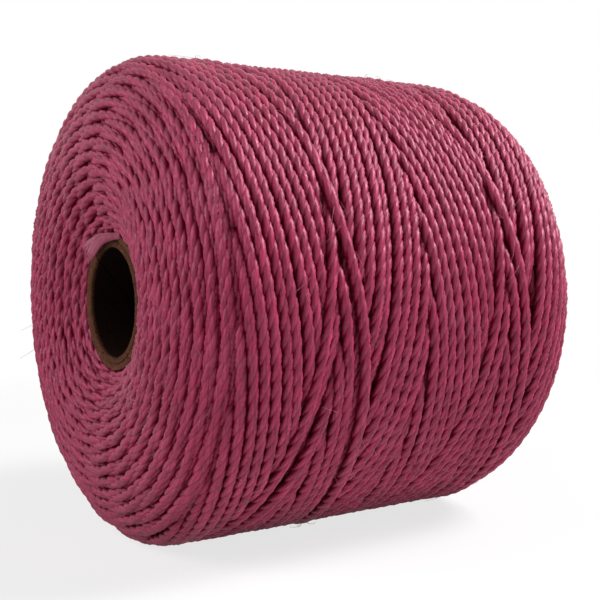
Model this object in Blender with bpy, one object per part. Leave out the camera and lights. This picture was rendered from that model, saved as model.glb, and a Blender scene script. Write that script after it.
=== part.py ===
"""A spool of three-strand nylon fishing line, wound on a small spiral paper tube and lying on its side.

Blender 4.5. Run it with: blender --background --python part.py, or from the Text Editor.

The tube's axis is +X and +Z is up. The origin is the middle of the tube's bore, halfway along it. The
spool has no flanges: the line itself forms both ends, with a round shoulder where they meet the drum.
The paper tube is two plies of kraft board, each a helical strip with an open butt seam. Round it lies the
mass of buried turns, a turned solid, and over that the outermost layer of the line, as three unbroken
tubes that meet end to end: one spirals out over the near end, one winds along the drum, and one spirals
in over the far end, where it is tucked into the turns below. The line's first end comes out beside the
tube's near rim, untwisted and pressed flat.

Lengths are in millimetres and become metres only when a mesh or a curve is made.
"""

import math
from dataclasses import dataclass

import bmesh
import bpy
import numpy as np
from mathutils import Vector

METRES = 0.001

# The line
CORD_DIAMETER = 0.9
CORD_RADIUS = CORD_DIAMETER / 2

# The wound package
PACKAGE_RADIUS = 19.0
PACKAGE_LENGTH = 35.0
END_DISH = 1.6  # how far each end sinks towards the tube
NEAR_SHOULDER = (4.6, 8.0)  # along the axis, and in radius
FAR_SHOULDER = (5.0, 4.8)

# The paper tube
TUBE_LENGTH = 31.0
TUBE_OUTER_RADIUS = 5.3
TUBE_BORE_RADIUS = 4.3
PLY_THICKNESS = 0.38
SEAM_PITCH = 24.0  # how far the strip's edge climbs in one turn
SEAM_WIDTH = 0.3

# Room between neighbouring solids, and between the line's turns
CLEARANCE = 0.3
LEAST_TURN_GAP = 0.4

# The outermost layer holds every second turn of the real one
NEAR_LOOPS = 8
DRUM_LOOPS = 14
FAR_LOOPS = 8
LOOP_POINTS = 24
HALF_SIDE = 0.5 / LOOP_POINTS  # half of one straight run, in turns
START_TURN = 0.5 + HALF_SIDE  # the first point lies just past the top of the spool
CORD_BEVEL_RESOLUTION = 1  # six sides
LEAN = 1.0  # how far along the axis a drum loop leans to each side
LEAN_CYCLES = 1.0  # times that the lean swings over and back along the drum
LEAN_FADE = 0.25  # share of the drum over which the lean grows at each end
FLAT_DEPTH = CORD_DIAMETER / 10  # cut from the lowest loops, where the spool lies

# The tucked end of the line
TUCK_RADIUS = 2 * CORD_DIAMETER
TUCK_STEPS = 5
POCKET_CLEARANCE = 0.26

# The first end of the line, pressed flat: each station's place (x, y, z), width and thickness
TAIL_STATIONS = (
    ((-16.00, 1.15, 6.60), 0.95, 0.80),
    ((-16.08, 2.10, 5.95), 1.20, 0.50),
    ((-16.14, 2.95, 5.20), 1.40, 0.36),
    ((-16.16, 3.50, 4.45), 1.55, 0.30),
    ((-16.14, 3.75, 3.70), 1.65, 0.28),
)
TAIL_SIDES = 8
TAIL_STEPS = 3  # sections from each station to the next
TAIL_SLANT = 0.8  # how far its torn end slopes over its width

# Facets round the axis, and points along the package's outline
TUBE_SIDES = 48
CORE_SIDES = 48
DISH_POINTS = 12
SHOULDER_POINTS = 16
ROUTE_OUTLINE_POINTS = 400
CORE_OUTLINE_POINTS = 34

CORD_COLOUR = (0.31, 0.048, 0.095)
BURIED_COLOUR = (0.16, 0.012, 0.035)
TAIL_COLOUR = (0.48, 0.15, 0.20)
INNER_PAPER = (0.05, 0.03, 0.021)
OUTER_PAPER = (0.14, 0.08, 0.056)


@dataclass(frozen=True)
class Finish:
    """The plain finish of one piece."""

    colour: tuple
    roughness: float

    def material(self, name):
        """A Principled material of this finish."""
        made = bpy.data.materials.new(name)
        made.use_nodes = True
        shader = made.node_tree.nodes["Principled BSDF"]
        shader.inputs["Base Color"].default_value = (*self.colour, 1.0)
        shader.inputs["Roughness"].default_value = self.roughness
        shader.inputs["Metallic"].default_value = 0.0
        made.diffuse_color = (*self.colour, 1.0)
        return made


def clear_scene():
    """Removes every object of the open file."""
    for obj in list(bpy.data.objects):
        bpy.data.objects.remove(obj, do_unlink=True)


def finished(name, data, finish):
    """An object of this data, linked to the scene, with its own material."""
    obj = bpy.data.objects.new(name, data)
    bpy.context.scene.collection.objects.link(obj)
    if finish is not None:
        data.materials.append(finish.material(name + "_finish"))
    return obj


def turn_to_axis(obj):
    """Turns an object that was made round its own Z axis so that it lies along +X, bottom at angle 0."""
    obj.rotation_euler = (0.0, math.radians(90.0), 0.0)
    return obj


def smooth(mesh, sharp_degrees=35.0):
    """Smooth shading, with the edges past an angle kept sharp."""
    mesh.shade_smooth()
    mesh.set_sharp_from_angle(angle=math.radians(sharp_degrees))


def cut(obj, cutter, name):
    """Cuts a hidden cutter out of an object with a Boolean that stays on it."""
    cutter.hide_render = True
    cutter.display_type = "WIRE"
    modifier = obj.modifiers.new(name, "BOOLEAN")
    modifier.operation = "DIFFERENCE"
    modifier.solver = "EXACT"
    modifier.object = cutter


# ---------------------------------------------------------------- the shape of the package


def end_profile(shoulder):
    """One end's outline from the tube out to the drum, as (depth from the end plane, radius)."""
    along, height = shoulder
    face_radius = PACKAGE_RADIUS - height
    hub_radius = TUBE_OUTER_RADIUS + 2 * CLEARANCE
    dish = []
    for radius in np.linspace(hub_radius, face_radius, DISH_POINTS, endpoint=False):
        share = (face_radius - radius) / (face_radius - hub_radius)
        dish.append((END_DISH * share**2, radius))
    round_part = []
    for angle in np.linspace(0.0, math.pi / 2, SHOULDER_POINTS):
        depth = along * (1 - math.cos(angle))
        round_part.append((depth, face_radius + height * math.sin(angle)))
    return dish + round_part


def package_profile():
    """The package's whole outline from the near rim to the far rim, as points (x, radius)."""
    half = PACKAGE_LENGTH / 2
    near = [(depth - half, radius) for depth, radius in end_profile(NEAR_SHOULDER)]
    far = [(half - depth, radius) for depth, radius in end_profile(FAR_SHOULDER)]
    return np.array(near + far[::-1])


def inset_profile(distance, count):
    """The outline moved inwards by a distance, as evenly spaced points (x, radius)."""
    outline = package_profile()
    run = np.concatenate([[0.0], np.cumsum(np.linalg.norm(np.diff(outline, axis=0), axis=1))])
    even = np.linspace(0.0, run[-1], count)
    outline = np.stack([np.interp(even, run, outline[:, 0]), np.interp(even, run, outline[:, 1])], axis=1)
    direction = np.gradient(outline, axis=0)
    direction /= np.linalg.norm(direction, axis=1)[:, None]
    inwards = np.stack([direction[:, 1], -direction[:, 0]], axis=1)
    return outline + distance * inwards


class Route:
    """The middle line of the outermost layer, from the near rim to the far rim."""

    def __init__(self):
        self.line = inset_profile(CORD_RADIUS, ROUTE_OUTLINE_POINTS)
        steps = np.linalg.norm(np.diff(self.line, axis=0), axis=1)
        self.run = np.concatenate([[0.0], np.cumsum(steps)])
        self.loops = NEAR_LOOPS + DRUM_LOOPS + FAR_LOOPS
        self.pitch = self.run[-1] / self.loops
        self.last_turn = self.loops - HALF_SIDE

    def lean(self, turn):
        """How far the line leans along the axis at this turn: on the drum only, fading at its ends."""
        on_drum = (turn - NEAR_LOOPS) / DRUM_LOOPS
        if not 0.0 < on_drum < 1.0:
            return 0.0
        fade = min(1.0, on_drum / LEAN_FADE, (1 - on_drum) / LEAN_FADE)
        swing = 2 * math.pi * LEAN_CYCLES * on_drum
        return LEAN * fade * math.sin(2 * math.pi * turn + swing)

    def point(self, turn):
        """A corner of the line after so many turns, in the object's own axes (its axis is Z)."""
        here = turn / self.loops * self.run[-1]
        along = np.interp(here, self.run, self.line[:, 0]) + self.lean(turn)
        radius = np.interp(here, self.run, self.line[:, 1]) / math.cos(math.pi / LOOP_POINTS)
        angle = 2 * math.pi * turn
        return Vector((radius * math.cos(angle), radius * math.sin(angle), along))

    def stretch(self, first, last):
        """The points of the polygon that the line follows between two turns, ends included."""
        count = round((last - first) * LOOP_POINTS)
        return [self.point(first + step / LOOP_POINTS) for step in range(count + 1)]


def cut_back(points, at_start, at_end):
    """The same route with its first and last straight runs shortened."""
    first = points[0] + (points[1] - points[0]).normalized() * at_start
    last = points[-1] + (points[-2] - points[-1]).normalized() * at_end
    return [first, *points[1:-1], last]


def least_self_gap(points):
    """The least clear space between turns of one tube, measured between points on its middle line."""
    dense = []
    for a, b in zip(points, points[1:]):
        dense += [a.lerp(b, share / 4) for share in range(4)]
    dense = np.array([tuple(point) for point in dense])
    steps = np.linalg.norm(np.diff(dense, axis=0), axis=1)
    run = np.concatenate([[0.0], np.cumsum(steps)])
    least = math.inf
    for index, point in enumerate(dense):
        apart = run - run[index] > 4 * CORD_DIAMETER
        if apart.any():
            least = min(least, np.linalg.norm(dense[apart] - point, axis=1).min())
    return least - CORD_DIAMETER


# ---------------------------------------------------------------- makers of meshes and curves


def cord_curve(name, points, radius):
    """A round tube with filled ends that follows these points."""
    curve = bpy.data.curves.new(name, "CURVE")
    curve.dimensions = "3D"
    curve.twist_mode = "MINIMUM"
    curve.bevel_depth = radius * METRES
    curve.bevel_resolution = CORD_BEVEL_RESOLUTION
    curve.use_fill_caps = True
    spline = curve.splines.new("POLY")
    spline.points.add(len(points) - 1)
    for target, point in zip(spline.points, points):
        target.co = (*(point * METRES), 1.0)
    return curve


def curve_as_mesh(curve):
    """The mesh of a curve's tube, so that a Boolean can cut it."""
    holder = bpy.data.objects.new(curve.name, curve)
    bpy.context.scene.collection.objects.link(holder)
    graph = bpy.context.evaluated_depsgraph_get()
    mesh = bpy.data.meshes.new_from_object(holder.evaluated_get(graph))
    bpy.data.objects.remove(holder, do_unlink=True)
    build = bmesh.new()
    build.from_mesh(mesh)
    bmesh.ops.remove_doubles(build, verts=build.verts, dist=1e-7)
    bmesh.ops.recalc_face_normals(build, faces=build.faces)
    build.to_mesh(mesh)
    build.free()
    mesh.name = curve.name
    return mesh


def lying(point):
    """Where a point round the Z axis comes to lie once its object is turned to the X axis."""
    return Vector((point.z, point.y, -point.x))


def turned_mesh(name, outline, sides):
    """A closed ring outline of (along, radius) points, turned once round Z."""
    build = bmesh.new()
    ring = [build.verts.new((radius * METRES, 0.0, along * METRES)) for along, radius in outline]
    edges = [build.edges.new((a, b)) for a, b in zip(ring, ring[1:] + ring[:1])]
    bmesh.ops.spin(
        build,
        geom=ring + edges,
        axis=(0.0, 0.0, 1.0),
        cent=(0.0, 0.0, 0.0),
        angle=2 * math.pi,
        steps=sides,
        use_merge=True,
    )
    bmesh.ops.recalc_face_normals(build, faces=build.faces)
    mesh = bpy.data.meshes.new(name)
    build.to_mesh(mesh)
    build.free()
    smooth(mesh)
    return mesh


def lofted_mesh(name, sections):
    """A closed skin over rings of points of one length, with both ends filled."""
    build = bmesh.new()
    rings = [[build.verts.new(point * METRES) for point in section] for section in sections]
    for ring, following in zip(rings, rings[1:]):
        for index in range(len(ring)):
            after = (index + 1) % len(ring)
            build.faces.new((ring[index], ring[after], following[after], following[index]))
    build.faces.new(rings[0][::-1])
    build.faces.new(rings[-1])
    bmesh.ops.recalc_face_normals(build, faces=build.faces)
    mesh = bpy.data.meshes.new(name)
    build.to_mesh(mesh)
    build.free()
    smooth(mesh)
    return mesh


def box_mesh(name, low, high):
    """A plain box between two corners."""
    build = bmesh.new()
    bmesh.ops.create_cube(build, size=1.0)
    low, high = Vector(low), Vector(high)
    bmesh.ops.scale(build, vec=(high - low) * METRES, verts=build.verts)
    bmesh.ops.translate(build, vec=(high + low) / 2 * METRES, verts=build.verts)
    mesh = bpy.data.meshes.new(name)
    build.to_mesh(mesh)
    build.free()
    return mesh


# ---------------------------------------------------------------- the paper tube


def seam_cutter(name, inner, outer, start_angle):
    """A helical blade that opens the butt seam of one ply from end to end."""
    reach = TUBE_LENGTH / 2 + SEAM_WIDTH * 4
    steps = round(TUBE_SIDES * 2 * reach / SEAM_PITCH)
    half = SEAM_WIDTH / 2
    sections = []
    for step in range(steps + 1):
        along = -reach + 2 * reach * step / steps
        angle = start_angle + 2 * math.pi * along / SEAM_PITCH
        out = Vector((math.cos(angle), math.sin(angle), 0.0))
        side = Vector((-math.sin(angle), math.cos(angle), 0.0))
        middle = Vector((0.0, 0.0, along))
        corners = ((inner, -half), (outer, -half), (outer, half), (inner, half))
        sections.append([middle + out * radius + side * shift for radius, shift in corners])
    return turn_to_axis(finished(name, lofted_mesh(name, sections), None))


def paper_ply(name, inner, seam_angle, finish):
    """One ply of the tube: a strip of board wound in a helix, its two edges meeting at an open seam."""
    outer = inner + PLY_THICKNESS
    half = TUBE_LENGTH / 2
    outline = [(-half, inner), (-half, outer), (half, outer), (half, inner)]
    ply = turn_to_axis(finished(name, turned_mesh(name, outline, TUBE_SIDES), finish))
    blade = seam_cutter(name + "_seam_cutter", inner - CLEARANCE, outer + CLEARANCE, seam_angle)
    cut(ply, blade, "Butt seam")
    return ply


def paper_tube():
    """Both plies, with their seams half a turn apart."""
    paper_ply("tube_inner_ply", TUBE_BORE_RADIUS, math.radians(40.0), Finish(INNER_PAPER, 0.9))
    outer_ply_bore = TUBE_OUTER_RADIUS - PLY_THICKNESS
    paper_ply("tube_outer_ply", outer_ply_bore, math.radians(220.0), Finish(OUTER_PAPER, 0.85))


# ---------------------------------------------------------------- the wound line


def tuck_route(route):
    """The last end of the line: off the far spiral, round a quarter bend and straight into the package."""
    end = route.point(route.last_turn)
    before = route.point(route.last_turn - 1 / LOOP_POINTS)
    ahead = (end - before).normalized()
    down = Vector((0.0, 0.0, -1.0))
    bend = []
    for step in range(1, TUCK_STEPS + 1):
        angle = math.pi / 2 * step / TUCK_STEPS
        bend.append(end + ahead * TUCK_RADIUS * math.sin(angle) + down * TUCK_RADIUS * (1 - math.cos(angle)))
    return bend + [bend[-1] + down * CORD_DIAMETER]


def buried_turns(route):
    """The turns under the outermost layer, as one turned solid with the tube's way through it."""
    skin = inset_profile(CORD_DIAMETER + CLEARANCE, CORE_OUTLINE_POINTS)
    bore = TUBE_OUTER_RADIUS + CLEARANCE
    outline = [(along, radius) for along, radius in skin if radius > bore + CLEARANCE]
    outline = [(outline[0][0], bore)] + outline + [(outline[-1][0], bore)]
    core = turn_to_axis(
        finished("buried_turns", turned_mesh("buried_turns", outline, CORE_SIDES), Finish(BURIED_COLOUR, 0.7))
    )
    tuck = tuck_route(route)
    deeper = tuck[-1] + (tuck[-1] - tuck[-2]).normalized() * CLEARANCE
    pocket_line = [route.point(route.last_turn), *tuck[:-1], deeper]
    pocket = curve_as_mesh(cord_curve("tuck_pocket_cutter", pocket_line, CORD_RADIUS + POCKET_CLEARANCE))
    cut(core, turn_to_axis(finished("tuck_pocket_cutter", pocket, None)), "Tuck pocket")


def wound_piece(name, points):
    """One unbroken stretch of the line along these points. It prints the least gap between its turns."""
    gap = least_self_gap(points)
    print(f"{name}: least gap between its turns {gap:.2f} mm")
    if gap <= LEAST_TURN_GAP:
        raise ValueError(f"{name}: its turns are closer than {LEAST_TURN_GAP} mm")
    mesh = curve_as_mesh(cord_curve(name, points, CORD_RADIUS))
    smooth(mesh, 70.0)
    return turn_to_axis(finished(name, mesh, Finish(CORD_COLOUR, 0.45)))


def outermost_layer(route):
    """The layer that shows, as three tubes. Each meets the next in the middle of a straight run."""
    near_end = NEAR_LOOPS + HALF_SIDE
    drum_end = NEAR_LOOPS + DRUM_LOOPS + HALF_SIDE
    near = route.stretch(START_TURN, near_end)
    drum = route.stretch(near_end, drum_end)
    far = route.stretch(drum_end, route.last_turn)
    near_turns = wound_piece("near_end_turns", cut_back(near, 0.0, CLEARANCE / 2))
    drum_turns = wound_piece("drum_turns", cut_back(drum, CLEARANCE / 2, CLEARANCE / 2))
    wound_piece("far_end_turns", cut_back(far, CLEARANCE / 2, 0.0) + tuck_route(route))
    floor = -PACKAGE_RADIUS + FLAT_DEPTH
    half = PACKAGE_LENGTH / 2
    low = (-half, -PACKAGE_RADIUS, floor - CORD_DIAMETER)
    block = box_mesh("floor_cutter", low, (half, PACKAGE_RADIUS, floor))
    floor_cutter = finished("floor_cutter", block, None)
    for lowest in (near_turns, drum_turns):
        cut(lowest, floor_cutter, "Flat where it lies")


def smooth_through(stations, steps):
    """Rows of numbers on a smooth curve through these rows, with some steps from each to the next."""
    rows = np.array(stations)
    padded = np.vstack([2 * rows[0] - rows[1], rows, 2 * rows[-1] - rows[-2]])
    found = []
    for a, b, c, d in zip(padded, padded[1:], padded[2:], padded[3:]):
        for step in range(steps):
            t = step / steps
            bend = (2 * a - 5 * b + 4 * c - d) * t**2 + (3 * b - 3 * c + d - a) * t**3
            found.append(b + 0.5 * ((c - a) * t + bend))
    return np.array(found + [rows[-1]])


def start_tail(route):
    """The line's first end: round where it meets the first turn, then pressed flat over the near end."""
    first = lying(route.point(START_TURN))
    before = lying(route.point(START_TURN - 1 / LOOP_POINTS))
    back = (before - first).normalized()
    root = first + back * CLEARANCE
    stations = [(*root, CORD_DIAMETER, CORD_DIAMETER)]
    stations += [(*(root + back * CORD_DIAMETER), CORD_DIAMETER, CORD_DIAMETER)]
    stations += [(*place, width, thickness) for place, width, thickness in TAIL_STATIONS]
    rows = smooth_through(stations, TAIL_STEPS)
    directions = np.gradient(rows[:, :3], axis=0)
    directions[0] = back
    outwards = Vector((-1.0, 0.0, 0.0))
    sections = []
    for row, direction in zip(rows, directions):
        ahead = Vector(direction).normalized()
        across = ahead.cross(outwards).normalized()
        up = across.cross(ahead)
        slant = TAIL_SLANT if len(sections) == len(rows) - 1 else 0.0
        ring = []
        for side in range(TAIL_SIDES):
            angle = 2 * math.pi * side / TAIL_SIDES
            over = math.cos(angle) / 2
            place = Vector(row[:3]) + across * row[3] * over + up * row[4] * math.sin(angle) / 2
            ring.append(place + ahead * slant * over)
        sections.append(ring)
    finished("start_tail", lofted_mesh("start_tail", sections), Finish(TAIL_COLOUR, 0.5))


def main():
    clear_scene()
    paper_tube()
    route = Route()
    print(f"outermost layer: {route.loops} turns at a pitch of {route.pitch:.2f} mm")
    buried_turns(route)
    outermost_layer(route)
    start_tail(route)


if __name__ == "__main__":
    main()
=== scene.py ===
"""The looks of a small spool of three-strand nylon fishing line, lying on its side on a pale floor.

The line is cross wound. It runs from one end of the package to the other in a little under two turns, turns
back, and each time round lies one line's width beside where it lay before. The newest pass is on top
everywhere, which gives the drum its bands of slanting turns with herringbone seams between them, and the
ends their overlapping rings.

Lengths are in millimetres and become metres when a mesh is made. Angles round the spool are in turns,
from the top of the drum over its camera side (-Y) to the bottom and on round the back.
"""

import itertools
import logging
import math
from dataclasses import dataclass, field
from enum import Enum
from typing import Union

import bpy
import numpy as np
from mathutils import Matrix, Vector

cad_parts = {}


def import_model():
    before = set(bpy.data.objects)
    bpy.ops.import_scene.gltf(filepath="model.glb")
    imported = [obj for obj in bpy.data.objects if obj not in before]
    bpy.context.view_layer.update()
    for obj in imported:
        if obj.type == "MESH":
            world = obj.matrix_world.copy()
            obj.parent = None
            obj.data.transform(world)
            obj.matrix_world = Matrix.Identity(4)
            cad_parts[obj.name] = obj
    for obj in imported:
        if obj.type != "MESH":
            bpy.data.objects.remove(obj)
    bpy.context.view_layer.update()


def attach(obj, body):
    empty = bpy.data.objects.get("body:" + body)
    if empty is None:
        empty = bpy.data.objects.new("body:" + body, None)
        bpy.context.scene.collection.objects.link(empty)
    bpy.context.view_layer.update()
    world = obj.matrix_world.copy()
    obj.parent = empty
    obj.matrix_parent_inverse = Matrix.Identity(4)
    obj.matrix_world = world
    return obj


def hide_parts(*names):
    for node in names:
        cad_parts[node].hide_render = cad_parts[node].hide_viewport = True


METRES = 0.001
FLOOR_HEIGHT = -18.91
NEAR_END_STARTS = -13.8
FAR_END_STARTS = 13.6
LAY_MAP = "lay_map"
EXPOSURE = "exposure"

Colour = tuple[float, float, float]
Value = Union[float, tuple, bpy.types.NodeSocket]

log = logging.getLogger("fishing_line_spool")


# ---------------------------------------------------------------- lines of points


def unit(vectors: np.ndarray) -> np.ndarray:
    """The vectors' directions, each of length 1."""
    return vectors / np.linalg.norm(vectors, axis=-1, keepdims=True)


def run_along(points: np.ndarray) -> np.ndarray:
    """How far along the line through these points each one lies."""
    return np.concatenate([[0.0], np.cumsum(np.linalg.norm(np.diff(points, axis=0), axis=1))])


def even_line(points: np.ndarray, step: float) -> tuple[np.ndarray, np.ndarray]:
    """A line's points spaced evenly, about a step apart, and each one's distance along it."""
    run = run_along(points)
    even = np.linspace(0.0, run[-1], max(4, round(run[-1] / step)))
    return np.stack([np.interp(even, run, points[:, axis]) for axis in range(3)], axis=1), even


def frame_along(middle: np.ndarray, out: np.ndarray) -> tuple[np.ndarray, np.ndarray, np.ndarray]:
    """Directions at each point of a line.

    Args:
        middle: The line's points.
        out: Roughly outwards, at each point.

    Returns:
        The unit directions along the line, outwards from it and across it.
    """
    ahead = unit(np.gradient(middle, axis=0))
    out = unit(out - (out * ahead).sum(axis=1)[:, None] * ahead)
    return ahead, out, np.cross(ahead, out)


def rings(
    middle: np.ndarray, up: np.ndarray, across: np.ndarray, high: np.ndarray, wide: np.ndarray
) -> np.ndarray:
    """Rings of points round a line, from how far each reaches along the two directions."""
    return middle[:, None] + up[:, None] * high[..., None] + across[:, None] * wide[..., None]


def uneven(even: np.ndarray, length: float, rng: np.random.Generator) -> np.ndarray:
    """A smooth random value along a line, one draw to each length."""
    knots = np.arange(0.0, even[-1] + 2 * length, length)
    return np.interp(even, knots, rng.normal(size=len(knots)))


# ---------------------------------------------------------------- the package's outline and its winding


@dataclass(frozen=True)
class Outline:
    """The package's outline: a drum with a round shoulder and a dished face at each end."""

    radius: float = 19.0
    length: float = 35.0
    hub_radius: float = 5.9
    hub_lap: float = 0.6
    end_dish: float = 1.6
    near_shoulder: tuple[float, float] = (4.6, 8.0)
    far_shoulder: tuple[float, float] = (5.0, 4.8)
    face_points: int = 60
    shoulder_points: int = 90
    least_depth: float = 0.3

    def end(self, shoulder: tuple[float, float]) -> tuple[np.ndarray, np.ndarray]:
        """One end's outline from the tube to the drum.

        Args:
            shoulder: The round shoulder's size along the axis and in radius.

        Returns:
            Each point's depth from the end plane, and its radius.
        """
        along, height = shoulder
        face = self.radius - height
        flat = np.linspace(self.hub_radius - self.hub_lap, face, self.face_points, endpoint=False)
        dish = self.end_dish * ((face - flat) / (face - self.hub_radius)) ** 2
        angle = np.linspace(0.0, math.pi / 2, self.shoulder_points)
        depth = np.concatenate([dish, along * (1 - np.cos(angle))])
        return depth, np.concatenate([flat, face + height * np.sin(angle)])

    def near_at(self, radius: np.ndarray) -> np.ndarray:
        """Where the near end lies along the axis at this radius."""
        depth, radii = self.end(self.near_shoulder)
        return np.interp(radius, radii, depth) - self.length / 2

    def far_at(self, radius: np.ndarray) -> np.ndarray:
        """Where the far end lies along the axis at this radius."""
        depth, radii = self.end(self.far_shoulder)
        return self.length / 2 - np.interp(radius, radii, depth)

    def radius_at(self, along: np.ndarray) -> np.ndarray:
        """The drum's and the shoulders' radius at these places along the axis."""
        drop = []
        for shoulder, place in ((self.near_shoulder, along), (self.far_shoulder, -along)):
            depth, radii = (part[self.face_points :] for part in self.end(shoulder))
            drop.append(np.interp(place + self.length / 2, depth, radii))
        return np.minimum(*drop)

    def bed(self, near: bool, inset: float, least_radius: float) -> tuple[np.ndarray, np.ndarray, np.ndarray]:
        """Where the line's middle lies against one end, from the drum to the tube.

        Args:
            near: Whether it is the near end.
            inset: How far under the skin it lies.
            least_radius: The radius at which the tube stops it.

        Returns:
            Each point's place along the axis, its radius, and its distance along the bed.
        """
        depth, radii = self.end(self.near_shoulder if near else self.far_shoulder)
        line = np.stack([depth, radii], -1)[::-1]
        heading = unit(np.gradient(line, axis=0))
        line = line + inset * np.stack([-heading[:, 1], heading[:, 0]], -1)
        line = line[line[:, 1] > least_radius]
        along = line[:, 0] - self.length / 2
        return (along if near else -along), line[:, 1], run_along(line)

    def inwards(self, along: np.ndarray, radius: np.ndarray) -> tuple[np.ndarray, np.ndarray]:
        """The way into the package from these places near its skin.

        Args:
            along: The places along the axis.
            radius: Their radius.

        Returns:
            The direction's parts along the axis and in radius.
        """
        depth_near = np.maximum(along - self.near_at(radius), self.least_depth)
        depth_far = np.maximum(self.far_at(radius) - along, self.least_depth)
        depth_drum = np.maximum(self.radius_at(along) - radius, self.least_depth)
        axial = depth_near**-2.0 - depth_far**-2.0
        radial = -(depth_drum**-2.0)
        size = np.hypot(axial, radial)
        return axial / size, radial / size


@dataclass
class Stretch:
    """A stretch of the line that shows, as points on its middle line."""

    along: np.ndarray
    radius: np.ndarray
    turn: np.ndarray
    loose: bool = False

    def points(self) -> np.ndarray:
        """The middle line's points in the part's frame."""
        angle = 2 * math.pi * self.turn
        return np.stack([self.along, -self.radius * np.sin(angle), self.radius * np.cos(angle)], axis=1)


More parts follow.
